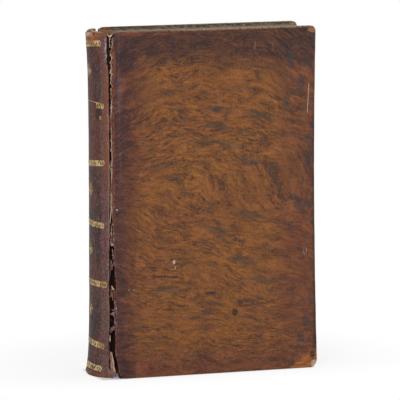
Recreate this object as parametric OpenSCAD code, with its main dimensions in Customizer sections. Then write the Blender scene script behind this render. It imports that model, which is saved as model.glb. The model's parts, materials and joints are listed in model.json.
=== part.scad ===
// An early nineteenth century leather bound book, standing closed on its tail edges.
// The front cover faces -Y, the spine is at -X, the fore-edge at +X, and Z is up.

/* [Book] */
// Height of the boards
book_h = 215; // [180:1:250]
// Width of a covered board, from its joint edge to its fore-edge
board_w = 133.9; // [110:0.1:160]
// Thickness of the sewn leaves
pages_t = 28.6; // [20:0.2:40]
// How far the boards stand past the leaves at head, tail and fore-edge
overhang = 2.4; // [1.5:0.1:5]
// Depth of the hollow along the fore-edge
fore_edge_hollow = 4.5; // [1:0.1:7]
// Thickness of a free endpaper
endpaper_t = 0.15; // [0.1:0.01:0.3]

/* [Covers] */
// Thickness of a millboard
board_t = 2.8; // [1.5:0.1:4]
// Thickness of the covering leather on the boards
leather_t = 0.6; // [0.3:0.05:1]
// Thickness of the turned-in leather and of the paper pasted between the turn-ins
lining_in_t = 0.2; // [0.1:0.05:0.5]
// Width of the turn-ins on the inside of a board
turn_in_w = 13; // [6:0.5:20]
// Clearance between a closed cover and the endpaper under it
cover_clear = 0.15; // [0.05:0.01:0.5]
// How far the board stays back from the joint edge of its leather
board_set = 0.9; // [0.3:0.1:2]
// Corner radius at head and fore-edge
head_corner_r = 3.2; // [1.5:0.1:6]
// Corner radius at tail and fore-edge, where the corners are worn
tail_corner_r = 5; // [1.5:0.1:8]
// Radius of the front cover's corner at joint and head
joint_corner_r = 3.4; // [1:0.1:5]
// Radius of the rear cover's corner at joint and head
rear_corner_r = 5; // [1:0.1:6]
// Width of the rear cover's corner cut back at the joint and head
head_cut_w = 1.5; // [1:0.1:4]
// Radius at which the leather turns over the edges of a board
edge_r = 0.9; // [0.6:0.05:1.2]
// Width of the corner cut back at the joint and tail
back_corner_w = 2.7; // [1.5:0.1:5]
// Height of the corner cut back at the joint and tail
back_corner_h = 17; // [8:1:25]
// Lean of the front cover, whose foot stands forward of its head, in degrees
front_lean = 1.3; // [0:0.1:2]
// How far the fore-edge is worn hollow at mid height
fore_edge_wear = 1.4; // [0:0.1:2]
// How unevenly the leather is torn along the front joint
tear_depth = 0.5; // [0:0.1:0.8]

/* [Spine] */
// How far the leather on the back stands out past the joints
spine_bulge = 8; // [5:0.5:12]
// Thickness of the leather on the back
spine_leather_t = 0.8; // [0.5:0.05:1.2]
// Thickness of the paper lining under it
lining_t = 0.35; // [0.2:0.05:0.6]
// Film of paste between leather, lining and leaves
paste_t = 0.05; // [0.03:0.01:0.1]
// How far the head cap flares out
head_flare = 2.6; // [0:0.1:4]
// How far the tail cap flares out
tail_flare = 2.7; // [0:0.1:4]
// How far the head cap is worn down, a little behind the middle of the back
cap_wear = 2; // [0:0.1:3]
// How far the leather is worn up at the tail, above the same place
tail_wear = 1.8; // [0:0.1:3]
// Thickness of the leather turned over at the caps
cap_t = 1.5; // [1.2:0.1:2]
// Width of the leather lost along the front joint, measured round the back
front_loss = 2.6; // [1:0.1:5]
// Width of the crease along the rear joint, measured round the back
rear_crease = 1.3; // [0.8:0.1:3]
// Width of the shoulder that the backed sections form on each side
shoulder_w = 1.2; // [0.6:0.1:1.8]

/* [Sewing] */
// Number of sewing cords
cord_count = 5; // [3:1:6]
// Diameter of a sewing cord
cord_d = 1.5; // [1:0.1:2]
// Clearance round a cord in its sawn groove
cord_clear = 0.05; // [0.03:0.01:0.1]
// Length of a cord's frayed slip, pasted down inside the board
slip_l = 12; // [6:1:20]
// Width of a frayed slip at its far end
slip_w = 6; // [3:0.5:9]
// Thickness of a frayed slip
slip_t = 0.35; // [0.2:0.05:0.6]
// Diameter of the endband's core
endband_d = 2; // [1.2:0.1:2.6]

/* [Gilding] */
// Height of a gilt roll across the back
roll_h = 3.6; // [2:0.1:5]
// Width of the two gold lines that bound a roll
fillet_w = 0.6; // [0.3:0.05:0.9]
// Number of lozenges in the chain between them
chain_count = 11; // [5:1:15]
// Width of a lozenge of the chain
link_w = 1.8; // [1:0.1:2]
// Distance of the topmost roll's middle from the head
roll_from_head = 8.2; // [7:0.1:14]
// Distance of the sixth roll's middle from the tail
roll_from_tail = 21.3; // [16:0.1:30]
// Height of the lowest roll's middle above the tail
tail_roll_z = 6.5; // [5.5:0.1:9]
// Width of a gilt device
device_w = 7; // [3:0.5:12]
// Height of a gilt device
device_h = 8.5; // [4:0.5:14]
// How far a gilt device stands above the middle of its compartment
device_rise = 2; // [-3:0.5:4]
// Thickness that stands for the gold leaf, which is really far thinner
leaf_t = 0.08; // [0.05:0.01:0.15]
// Lift of the leaf off the leather
leaf_lift = 0.05; // [0.04:0.01:0.1]

/* [Remnants] */
// Width of the patch of title label that is left
label_w = 5.5; // [3:0.5:10]
// Height of the patch of title label that is left
label_h = 7; // [4:0.5:20]
// Thickness of the title label
label_t = 0.3; // [0.15:0.05:0.5]
// Height of the top of the torn sliver that is left in the front joint
sliver_h = 16.5; // [10:0.5:25]
// Height of its lower end above the tail
sliver_z = 2.6; // [0.5:0.1:5]
// Width of the torn sliver
sliver_w = 3; // [1.5:0.1:3.5]

/* [Hidden] */
roll_count = 6;
roll_top = book_h - roll_from_head;
roll_pitch = (roll_top - roll_from_tail) / (roll_count - 1);
rolls = concat([for (i = [0 : roll_count - 1]) roll_top - i * roll_pitch], [tail_roll_z]);
devices = [for (i = [0, 2, 3, 4]) roll_top - (i + 0.5) * roll_pitch + device_rise];

cover_t = leather_t + board_t + lining_in_t;
half_t = pages_t / 2 + endpaper_t + cover_clear + cover_t;
spine_r = (half_t * half_t + spine_bulge * spine_bulge) / (2 * spine_bulge);
spine_x = spine_r - spine_bulge;
joint_angle = asin(half_t / spine_r);
lining_r = spine_r - spine_leather_t - paste_t;
block_r = lining_r - lining_t - paste_t;
degrees_per_mm = 180 / (PI * spine_r);

leaves_h = book_h - 2 * overhang;
leaves_x = board_w - overhang;
slice = 0.01;

lift = cover_t * sin(front_lean);
front_y = -half_t + cover_t * (1 - cos(front_lean)) - (book_h - overhang) * tan(front_lean);
centre_x = (board_w - spine_bulge - head_flare) / 2;
centre_y = (front_y + half_t) / 2;

spine_steps = 24;
roll_steps = 20;
cap_fall = 3;
wear_middle = 14;
wear_reach = 14;
tail_wear_zone = 8;
floor_gap = 0.25;
tear_phase = 60;
flare_fall_head = 22;
flare_fall_tail = 14;
end_rows = [1, 4, 8, 13, 20, 30];
end_zone = end_rows[len(end_rows) - 1];
middle_rows = 9;
leather_z = concat(
  [floor_gap], end_rows,
  [for (i = [1 : middle_rows]) end_zone + (book_h - 2 * end_zone) * i / (middle_rows + 1)],
  [for (i = [len(end_rows) - 1 : -1 : 0]) book_h - end_rows[i]]);
cord_pitch = book_h / (cord_count + 1);

// The back is an arc about an upright line at spine_x. Angle a is 0 at the middle of the back, and
// grows towards the rear joint. The caps flare out in the middle and not at the joints.
function mid_share(a) = pow(max(0, cos(a * 90 / (joint_angle + 2))), 1.5);
function flare(z) = head_flare * exp(-(book_h - z) / flare_fall_head) + tail_flare * exp(-z / flare_fall_tail);
function back_point(a, r, z) =
  let (reach = r + flare(z) * mid_share(a)) [spine_x - reach * cos(a), reach * sin(a), z];

// Share of the wear at the caps, which is deepest a little behind the middle of the back
function wear(a) = exp(-pow((a - wear_middle) / wear_reach, 2));

// Height of the leather's upper edge
function cap_top(a) = book_h - 0.6 - cap_wear * wear(a);

// The uneven edge of torn leather: three waves that don't repeat over the height
function tear(z) = tear_depth * (0.6 * sin(z * 7.3) + 0.3 * sin(z * 19.7 + 40) + 0.3 * sin(z * 41 + 110));

function arc(cx, cz, r, from, to, steps = 6) =
  [for (i = [0 : steps]) let (a = from + (to - from) * i / steps) [cx + r * cos(a), cz + r * sin(a)]];

// A solid sheet between an outer and an inner grid of points, with as many rows and columns each
module sheet(outer, inner) {
  rows = len(outer);
  cols = len(outer[0]);
  half = rows * cols;
  function at(side, i, j) = side * half + i * cols + j;
  points = concat([for (row = outer) each row], [for (row = inner) each row]);
  walls = [for (i = [0 : rows - 2], j = [0 : cols - 2], side = [0, 1])
    let (a = at(side, i, j), b = at(side, i, j + 1), c = at(side, i + 1, j + 1), d = at(side, i + 1, j))
    each (side == 0 ? [[a, b, c], [a, c, d]] : [[a, c, b], [a, d, c]])];
  side_strips = [for (i = [0 : rows - 2], end = [0, 1])
    let (j = end * (cols - 1), a = at(0, i, j), b = at(0, i + 1, j), c = at(1, i + 1, j), d = at(1, i, j))
    each (end == 0 ? [[a, b, c], [a, c, d]] : [[a, c, b], [a, d, c]])];
  end_strips = [for (j = [0 : cols - 2], end = [0, 1])
    let (i = end * (rows - 1), a = at(0, i, j), b = at(0, i, j + 1), c = at(1, i, j + 1), d = at(1, i, j))
    each (end == 0 ? [[a, c, b], [a, d, c]] : [[a, b, c], [a, c, d]])];
  polyhedron(points, concat(walls, side_strips, end_strips), convexity = 6);
}

// A patch laid on the back, between two angles and two heights, lifted off the leather
module back_patch(a0, a1, z0, z1, lifted, thick, steps) {
  angles = [for (j = [0 : steps]) a0 + (a1 - a0) * j / steps];
  heights = [z0, z1];
  sheet([for (z = heights) [for (a = angles) back_point(a, spine_r + lifted + thick, z)]],
        [for (z = heights) [for (a = angles) back_point(a, spine_r + lifted, z)]]);
}

// A flat slab with the children's outline, standing upright from depth y to y + thick
module upright(y, thick) {
  translate([0, y + thick, 0]) rotate([90, 0, 0]) linear_extrude(thick) children();
}

// Puts a cover that is drawn with its outer face at y = 0 in its place on the book
module at_front() {
  translate([-centre_x, front_y - centre_y, lift]) rotate([-front_lean, 0, 0]) children();
}

module at_rear() {
  translate([-centre_x, half_t - centre_y, 0]) mirror([0, 1, 0]) children();
}

module at_block() {
  translate([-centre_x, -centre_y, 0]) children();
}

// Outline of the leather on a board, drawn in from head, tail and fore-edge by inset
function free_edges(inset) = concat(
  [[back_corner_w + inset, inset]],
  arc(board_w - tail_corner_r, tail_corner_r, tail_corner_r - inset, -90, 0),
  [for (i = [1 : 7]) let (z = book_h * i / 8)
    [board_w - inset - fore_edge_wear * (1 - pow(2 * z / book_h - 1, 2)), z]],
  arc(board_w - head_corner_r, book_h - head_corner_r, head_corner_r - inset, 0, 90));

// Where a corner that is cut back at the head meets the straight joint edge, set in from it by set_in
function cut_end(cut, set_in) = cut > 0 ? [[set_in, book_h - back_corner_h]] : [];

// Outline of the leather on a board, whose corner at joint and head has radius r and is cut back by cut
function leather_outline(inset, r, cut) =
  concat(
    free_edges(inset),
    [for (a = [90 : 18 : 180]) [cut + r + r * cos(a), book_h - r + (r - inset) * sin(a)]],
    cut_end(cut, 0),
    [[0, back_corner_h]]);

// A solid through a list of outlines, each lying at its own depth
module loft(outlines, depths) {
  n = len(outlines[0]);
  last = len(outlines) - 1;
  points = [for (k = [0 : last], p = outlines[k]) [p[0], depths[k], p[1]]];
  sides = [for (k = [0 : last - 1], i = [0 : n - 1])
    let (a = k * n + i, b = k * n + (i + 1) % n, c = b + n, d = a + n)
    each [[a, b, c], [a, c, d]]];
  polyhedron(points, concat(sides, [[for (i = [n - 1 : -1 : 0]) i], [for (i = [0 : n - 1]) last * n + i]]),
             convexity = 4);
}

// The full thickness of a cover, with its outer edges rounded where the leather turns over them
module cover_block(r, cut) {
  steps = 3;
  turns = [for (k = [0 : steps]) 90 * k / steps];
  loft(concat([for (t = turns) leather_outline(edge_r * (1 - sin(t)), r, cut)], [leather_outline(0, r, cut)]),
       concat([for (t = turns) edge_r * (1 - cos(t))], [cover_t]));
}

// Outline of a board, which follows the leather's and stays back from it at the joint
module board_outline(r, cut) {
  polygon(concat(
    free_edges(leather_t),
    [for (a = [90 : 18 : 180]) [cut + r + (r - board_set) * cos(a), book_h - r + (r - leather_t) * sin(a)]],
    cut_end(cut, board_set),
    [[board_set, back_corner_h]]));
}

module window_outline() {
  translate([-back_corner_w, turn_in_w])
    square([board_w - turn_in_w + back_corner_w, book_h - 2 * turn_in_w]);
}

module slip_outline() {
  neck = cord_d / 2;
  polygon([[board_set, -neck], [board_set, neck], [slip_l * 0.5, slip_w * 0.3], [slip_l, slip_w / 2],
           [slip_l * 0.9, 0], [slip_l, -slip_w / 2], [slip_l * 0.5, -slip_w * 0.3]]);
}

module slips() {
  for (i = [1 : cord_count])
    upright(leather_t + board_t - slip_t, slip_t) translate([0, i * cord_pitch]) slip_outline();
}

module board(r, cut) {
  difference() {
    upright(leather_t, board_t) board_outline(r, cut);
    slips();
  }
}

// What is torn off the outer skin along the joint
module lost_strip() {
  rows = 40;
  top = book_h - joint_corner_r;
  heights = [for (i = [0 : rows]) back_corner_h + (top - back_corner_h) * i / rows];
  upright(-slice, leather_t + 2 * slice)
    polygon(concat([[-1, top], [-1, back_corner_h]], [for (z = heights) [tear_depth + tear(z), z]]));
}

// One skin over the outer face, round the free edges and in over the inner face as turn-ins. At the
// joint only the outer skin reaches past the board.
module cover_leather(r, cut) {
  difference() {
    cover_block(r, cut);
    upright(leather_t, board_t) board_outline(r, cut);
    upright(leather_t + board_t - slice, lining_in_t + 2 * slice) window_outline();
    upright(leather_t, cover_t) translate([-back_corner_w, -slice])
      square([back_corner_w + board_set + slice, book_h + 2 * slice]);
  }
}

module pastedown() {
  upright(leather_t + board_t, lining_in_t)
    translate([board_set, turn_in_w])
      square([board_w - turn_in_w - board_set, book_h - 2 * turn_in_w]);
}

// Plan of the sewn leaves: rounded and backed at the spine, hollow along the fore-edge
module block_plan() {
  half = pages_t / 2;
  tip_y = half + shoulder_w;
  tip_x = spine_x - sqrt(block_r * block_r - tip_y * tip_y);
  fold_x = -cover_clear;
  hollow_r = (half * half + fore_edge_hollow * fore_edge_hollow) / (2 * fore_edge_hollow);
  difference() {
    union() {
      translate([fold_x, -half]) square([leaves_x - fold_x, pages_t]);
      intersection() {
        translate([spine_x, 0]) circle(r = block_r, $fn = 128);
        polygon([[-spine_r, -tip_y], [tip_x, -tip_y], [fold_x, -half], [fold_x + 1, -half],
                 [fold_x + 1, half], [fold_x, half], [tip_x, tip_y], [-spine_r, tip_y]]);
      }
    }
    translate([leaves_x - fore_edge_hollow + hollow_r, 0]) circle(r = hollow_r, $fn = 128);
  }
}

// An arc of a ring round the back, with the children as its section
module round_back(reach) {
  translate([spine_x, 0, 0]) rotate_extrude(start = 180 - reach, angle = 2 * reach, $fn = 128) children();
}

cord_r = block_r - cord_d / 2 - cord_clear;
groove_d = cord_d + 2 * cord_clear;

module cord_groove(z) {
  translate([0, 0, z]) round_back(joint_angle + 5)
    translate([cord_r - groove_d / 2, -groove_d / 2]) square([2 * groove_d, groove_d]);
}

module text_block() {
  color("#cdbf9f") at_block() difference() {
    translate([0, 0, overhang]) linear_extrude(leaves_h) block_plan();
    for (i = [1 : cord_count]) cord_groove(i * cord_pitch);
  }
}

module free_endpaper(y) {
  translate([board_set, y, overhang]) cube([leaves_x - 0.5 - board_set, endpaper_t, leaves_h]);
}

module front_free_endpaper() {
  color("#d8ccb0") at_block() free_endpaper(-pages_t / 2 - endpaper_t);
}

module rear_free_endpaper() {
  color("#d8ccb0") at_block() free_endpaper(pages_t / 2);
}

module sewing_cord(i) {
  shoulder_angle = asin((pages_t / 2 + shoulder_w) / cord_r);
  color("#b39b6d") at_block() translate([0, 0, i * cord_pitch]) round_back(shoulder_angle - 1)
    translate([cord_r, 0]) circle(d = cord_d, $fn = 24);
}

module endband(z) {
  translate([0, 0, z]) round_back(joint_angle - 8)
    translate([block_r - endband_d / 2, 0]) circle(d = endband_d, $fn = 24);
}

module head_endband() {
  color("#b8a888") at_block() endband(book_h - overhang + endband_d / 2);
}

module tail_endband() {
  color("#b8a888") at_block() endband(overhang - endband_d / 2);
}

front_edge_angle = -joint_angle + front_loss * degrees_per_mm;
rear_edge_angle = joint_angle - rear_crease * degrees_per_mm;

// Angles across the back at one height, from the torn front edge to the rear joint
function leather_angles(z) =
  let (from = front_edge_angle + tear(z + tear_phase) * degrees_per_mm)
  [for (j = [0 : spine_steps]) from + (rear_edge_angle - from) * j / spine_steps];

// Height of a row of the leather, which is worn up near the tail and stays below the lip of the head cap
function worn_up(z, a) = z + tail_wear * wear(a) * max(0, 1 - z / tail_wear_zone);
function row_z(z, a) = min(worn_up(z, a), cap_top(a) - (book_h - z) * 0.6);

// How much thicker the leather is where it turns over at the caps
function cap_growth(z, head) = (cap_t - spine_leather_t) * (exp(-z / cap_fall) + exp(-(head - z) / cap_fall));

module spine_leather() {
  lip = 0.35;
  body_rows = [for (z = leather_z) [for (a = leather_angles(z)) back_point(a, spine_r, row_z(z, a))]];
  body_under = [for (z = leather_z)
    [for (a = leather_angles(z))
      back_point(a, spine_r - spine_leather_t - cap_growth(z, book_h) * mid_share(a), row_z(z, a))]];
  lip_row = [for (a = leather_angles(book_h)) back_point(a, spine_r - lip * mid_share(a) - 0.1, cap_top(a))];
  lip_under = [for (a = leather_angles(book_h))
    back_point(a, spine_r - spine_leather_t - (cap_t - spine_leather_t - lip) * mid_share(a) + 0.1, cap_top(a))];
  color("#3f302c") at_block() sheet(concat(body_rows, [lip_row]), concat(body_under, [lip_under]));
}

module spine_lining() {
  reach = joint_angle - 5;
  angles = [for (j = [0 : spine_steps]) -reach + 2 * reach * j / spine_steps];
  top = book_h - overhang;
  heights = concat([overhang], [for (z = leather_z) if (z > overhang && z < top) z], [top]);
  function lining_point(a, depth, z) =
    back_point(a, lining_r - depth - cap_growth(z, book_h - cap_wear) * mid_share(a), z);
  color("#b9b2a4") at_block()
    sheet([for (z = heights) [for (a = angles) lining_point(a, 0, z)]],
          [for (z = heights) [for (a = angles) lining_point(a, lining_t, z)]]);
}

// A lozenge of gold leaf laid on the back
module lozenge(a, z, w, h, steps) {
  reach = w / 2 * degrees_per_mm;
  tip = 0.1;
  shares = [for (j = [-steps : steps]) j / steps];
  function corner(u, s, r) = back_point(a + reach * u, r, z + s * max(tip, h / 2 * (1 - abs(u))));
  inner_r = spine_r + leaf_lift;
  sheet([for (s = [-1, 1]) [for (u = shares) corner(u, s, inner_r + leaf_t)]],
        [for (s = [-1, 1]) [for (u = shares) corner(u, s, inner_r)]]);
}

// A gold line on either side of a chain of lozenges
module gilt_roll(z) {
  from = front_edge_angle + 8;
  to = rear_edge_angle - 4;
  pitch = (to - from) / chain_count;
  color("#a8843c") at_block() {
    for (side = [-1, 1]) let (middle = z + side * (roll_h - fillet_w) / 2)
      back_patch(from, to, middle - fillet_w / 2, middle + fillet_w / 2, leaf_lift, leaf_t, roll_steps);
    for (i = [0 : chain_count - 1])
      lozenge(from + (i + 0.5) * pitch, z, link_w, roll_h - 3 * fillet_w, 1);
  }
}

module gilt_device(z) {
  color("#b08c42") at_block() lozenge(0, z, device_w, device_h, 4);
}

module label_remnant() {
  from = front_edge_angle + 11;
  top = roll_top - roll_pitch - roll_h / 2 - 0.5;
  color("#2c2422") at_block()
    back_patch(from, from + label_w * degrees_per_mm, top - label_h, top, leaf_lift, label_t, 4);
}

// A sliver of the joint leather that still stands at the foot of the cracked joint
module torn_joint_leather() {
  heights = [sliver_z, 5, 8, 12, sliver_h];
  function wave(z) = 0.4 * sin(z * 30);
  function width(z) = sliver_w * (1 - 0.75 * pow(z / sliver_h, 2));
  front = -half_t + 0.2;
  function edge(z, u, back) = [-1.6 + width(z) * u + wave(z), front + back + 1.2 * (1 - u), z];
  color("#b58d7c") at_block() sheet(
    [for (z = heights) [for (u = [0, 0.5, 1]) edge(z, u, 0)]],
    [for (z = heights) [for (u = [0, 0.5, 1]) edge(z, u, leather_t)]]);
}

module front_board() {
  color("#8c7a5c") at_front() board(joint_corner_r, 0);
}

module front_leather() {
  color("#6b4526") at_front() difference() {
    cover_leather(joint_corner_r, 0);
    lost_strip();
  }
}

module front_pastedown() {
  color("#d8ccb0") at_front() pastedown();
}

module front_cord_slips() {
  color("#b39b6d") at_front() slips();
}

module rear_board() {
  color("#8c7a5c") at_rear() board(rear_corner_r, head_cut_w);
}

module rear_leather() {
  color("#6b4526") at_rear() cover_leather(rear_corner_r, head_cut_w);
}

module rear_pastedown() {
  color("#d8ccb0") at_rear() pastedown();
}

module rear_cord_slips() {
  color("#b39b6d") at_rear() slips();
}

text_block();
front_free_endpaper();
rear_free_endpaper();
head_endband();
tail_endband();
for (i = [1 : cord_count]) sewing_cord(i);
spine_lining();
spine_leather();
label_remnant();
torn_joint_leather();
for (i = [1 : len(rolls)]) gilt_roll(rolls[i - 1]);
for (i = [1 : len(devices)])
  gilt_device(devices[i - 1]);
front_board();
front_leather();
front_pastedown();
front_cord_slips();
rear_board();
rear_leather();
rear_pastedown();
rear_cord_slips();
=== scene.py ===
"""A worn early nineteenth century book in stained calf, standing closed on its tail edges."""

import json
from math import asin, atan2, cos, exp, pi, radians, sin, sqrt, tan

import bmesh
import bpy
from mathutils import Matrix, Vector, noise


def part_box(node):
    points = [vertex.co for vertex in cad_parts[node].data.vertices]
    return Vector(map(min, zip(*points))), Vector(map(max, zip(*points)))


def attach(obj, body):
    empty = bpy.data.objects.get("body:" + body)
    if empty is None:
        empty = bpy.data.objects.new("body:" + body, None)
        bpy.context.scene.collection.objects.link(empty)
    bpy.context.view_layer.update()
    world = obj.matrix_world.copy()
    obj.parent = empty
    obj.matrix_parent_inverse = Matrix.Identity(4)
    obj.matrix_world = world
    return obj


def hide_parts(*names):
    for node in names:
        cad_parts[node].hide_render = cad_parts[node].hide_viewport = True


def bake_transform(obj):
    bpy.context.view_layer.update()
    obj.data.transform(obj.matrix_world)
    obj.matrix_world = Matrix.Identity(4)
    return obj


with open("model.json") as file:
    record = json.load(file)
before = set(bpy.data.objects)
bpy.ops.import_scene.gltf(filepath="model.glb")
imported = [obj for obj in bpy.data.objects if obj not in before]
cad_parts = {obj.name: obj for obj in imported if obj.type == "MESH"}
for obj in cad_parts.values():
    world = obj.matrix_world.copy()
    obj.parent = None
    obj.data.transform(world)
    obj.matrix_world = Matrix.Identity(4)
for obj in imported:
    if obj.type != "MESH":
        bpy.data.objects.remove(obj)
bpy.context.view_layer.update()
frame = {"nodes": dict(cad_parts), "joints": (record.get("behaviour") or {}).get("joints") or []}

MM = 0.001

# The book's own places and sizes, read off the frame
LEATHER_LOW, LEATHER_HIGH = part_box("rear_leather")
BLOCK_LOW, BLOCK_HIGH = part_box("text_block")
JOINTS = {joint["name"]: joint for joint in frame["joints"]}
JOINT_X = LEATHER_LOW.x
BOARD_W = LEATHER_HIGH.x - LEATHER_LOW.x
BOOK_H = LEATHER_HIGH.z
COVER_T = LEATHER_HIGH.y - LEATHER_LOW.y
MIDDLE_Y = (BLOCK_LOW.y + BLOCK_HIGH.y) / 2
HALF_T = LEATHER_HIGH.y - MIDDLE_Y
LEAN = asin(-JOINTS["front_cover_hinge"]["axis"][1])

# The covers
SKIN_T = 0.55 * MM
TURNED_T = 0.2 * MM
TURN_IN_W = 13 * MM
EDGE_R = 0.9 * MM
INNER_R = 0.35 * MM
FORE_EDGE_WEAR = 1.4 * MM
HEAD_CORNER_R = 3.2 * MM
TAIL_CORNER_R = 5 * MM
FRONT_JOINT_CORNER_R = 3.4 * MM
REAR_JOINT_CORNER_R = 5 * MM
FOOT_CORNER_R = 3 * MM
CORNER_ZONE = 15 * MM
PAST_CORNER = 1.2
BACK_CORNER_W = 2.7 * MM
BACK_CORNER_H = 17 * MM
HEAD_CUT_W = 1.5 * MM
FRONT_PLACE = (Matrix.Translation((JOINT_X, -LEATHER_HIGH.y, COVER_T * sin(LEAN)))
               @ Matrix.Rotation(-LEAN, 4, "X"))
REAR_PLACE = Matrix.Translation((JOINT_X, LEATHER_HIGH.y, 0)) @ Matrix.Scale(-1, 4, (0, 1, 0))

# The back
SPINE_BULGE = 8 * MM
SPINE_R = (HALF_T ** 2 + SPINE_BULGE ** 2) / (2 * SPINE_BULGE)
SPINE_X = JOINT_X + SPINE_R - SPINE_BULGE
JOINT_ANGLE = asin(HALF_T / SPINE_R)
SPINE_LEATHER_T = 0.8 * MM
HEAD_FLARE = 2.6 * MM
TAIL_FLARE = 2.7 * MM
HEAD_FLARE_FALL = 22 * MM
TAIL_FLARE_FALL = 14 * MM
TAIL_LIP = 1 * MM
TAIL_LIP_FALL = 1.6 * MM
CAP_WEAR = 2 * MM
TAIL_WEAR = 1.8 * MM
TAIL_WEAR_ZONE = 8 * MM
WEAR_MIDDLE = radians(14)
WEAR_REACH = radians(14)
CAP_T = 1.5 * MM
CAP_FALL = 3 * MM
FLOOR_GAP = 0.8 * MM
FRONT_EDGE_ANGLE = -JOINT_ANGLE + 2.6 * MM / SPINE_R
REAR_EDGE_ANGLE = JOINT_ANGLE - 1.3 * MM / SPINE_R
LIP_R = 0.22 * MM

# The leaves
LEAVES = 150
BLOCK_R = SPINE_R - SPINE_LEATHER_T - 0.45 * MM
SHOULDER = 1.2 * MM
FOLD_X = JOINT_X - 0.15 * MM
FOLD_W = 0.74 * MM
FORE_EDGE_HOLLOW = 4.5 * MM
GROOVE_H = 1.6 * MM
GROOVE_DEPTH = 1.7 * MM
ENDBAND_D = 2 * MM

# The gilding and the label
LEAF_T = 0.06 * MM
LEAF_LIFT = 0.05 * MM
FILLET = 0.28 * MM
LINK_W = 2.1 * MM
LINK_LINE_W = 0.68 * MM
LINE_W = 0.62 * MM
LABEL_W = 5.5 * MM
LABEL_T = 0.24 * MM

# The studio: each lamp's name, place, side and watts
WHITE = (1, 1, 1, 1)
PALE = (0.93, 0.93, 0.93, 1)
LAMPS = (("key", (-0.9, -1.5, 1.25), 0.9, 16), ("fill", (1.3, -1.2, 0.7), 1.2, 7.5),
         ("top", (0.1, 0.4, 1.7), 1.0, 9))

# Map units in a metre
MAP_SCALE = 10


def ripple(seed, grain, x=0, y=0, z=0):
    """A smooth unevenness from -1 to 1 over a place in metres, with swells of about grain millimetres."""
    return noise.noise(Vector((x, y, z)) / (grain * MM) + Vector((seed * 7.31, seed * 3.17, seed * 5.93)))


def between(a, b, share):
    return a + (b - a) * share


def clamp(value):
    return min(1.0, max(0.0, value))


def eased(value, low, high):
    """0 below low, 1 above high, with a soft start and end."""
    share = clamp((value - low) / (high - low))
    return share * share * (3 - 2 * share)


def curve_through(knots, at):
    """The height at one place of a soft line through knots, each a pair of place and height."""
    for (place, height), (next_place, next_height) in zip(knots, knots[1:]):
        if at <= next_place:
            return between(height, next_height, eased(at, place, next_place))
    return knots[-1][1]


def math_node(operation, number_first=False):
    """A method for Value that adds a Math node."""
    def method(self, other):
        values = (other, self) if number_first else (self, other)
        return self.shading.node("ShaderNodeMath", {"operation": operation}, values)
    return method


class Value:
    """A socket of a node tree, on which plain arithmetic adds Math nodes."""

    __add__, __radd__ = math_node("ADD"), math_node("ADD", True)
    __sub__, __rsub__ = math_node("SUBTRACT"), math_node("SUBTRACT", True)
    __mul__, __rmul__ = math_node("MULTIPLY"), math_node("MULTIPLY", True)
    __truediv__, __pow__ = math_node("DIVIDE"), math_node("POWER")
    larger, smaller = math_node("MAXIMUM"), math_node("MINIMUM")

    def __init__(self, shading, socket):
        self.shading = shading
        self.socket = socket

    def output(self, name):
        """Another output of the same node."""
        return Value(self.shading, self.socket.node.outputs[name])

    def size(self):
        """The value without its sign."""
        return self.shading.node("ShaderNodeMath", {"operation": "ABSOLUTE"}, (self,))

    def rise(self, low, high):
        """0 below low and 1 above high, or the other way round where high is the smaller."""
        settings = {"interpolation_type": "SMOOTHSTEP"}
        risen = self.shading.node("ShaderNodeMapRange", settings, (self, min(low, high), max(low, high)))
        return 1 - risen if high < low else risen


def paint(code):
    """A colour written as in a paint chart, turned by the sRGB rule into a shader's linear values."""
    parts = [int(code[i:i + 2], 16) / 255 for i in (1, 3, 5)]
    return [p / 12.92 if p <= 0.04045 else ((p + 0.055) / 1.055) ** 2.4 for p in parts] + [1]


class Shading:
    """The node tree of a material or of the surround."""

    def __init__(self, owner):
        owner.use_nodes = True
        self.tree = owner.node_tree

    def node(self, kind, settings, inputs, output=0):
        """Adds a node: its settings first, then the values or links of its sockets."""
        node = self.tree.nodes.new(kind)
        for key, value in settings.items():
            setattr(node, key, value)
        for key, value in inputs.items() if isinstance(inputs, dict) else enumerate(inputs):
            if isinstance(value, Value):
                self.tree.links.new(value.socket, node.inputs[key])
            else:
                node.inputs[key].default_value = value
        return Value(self, node.outputs[output])

    def show(self, surface, output):
        self.tree.links.new(surface.socket, self.tree.nodes[output].inputs["Surface"])


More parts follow.
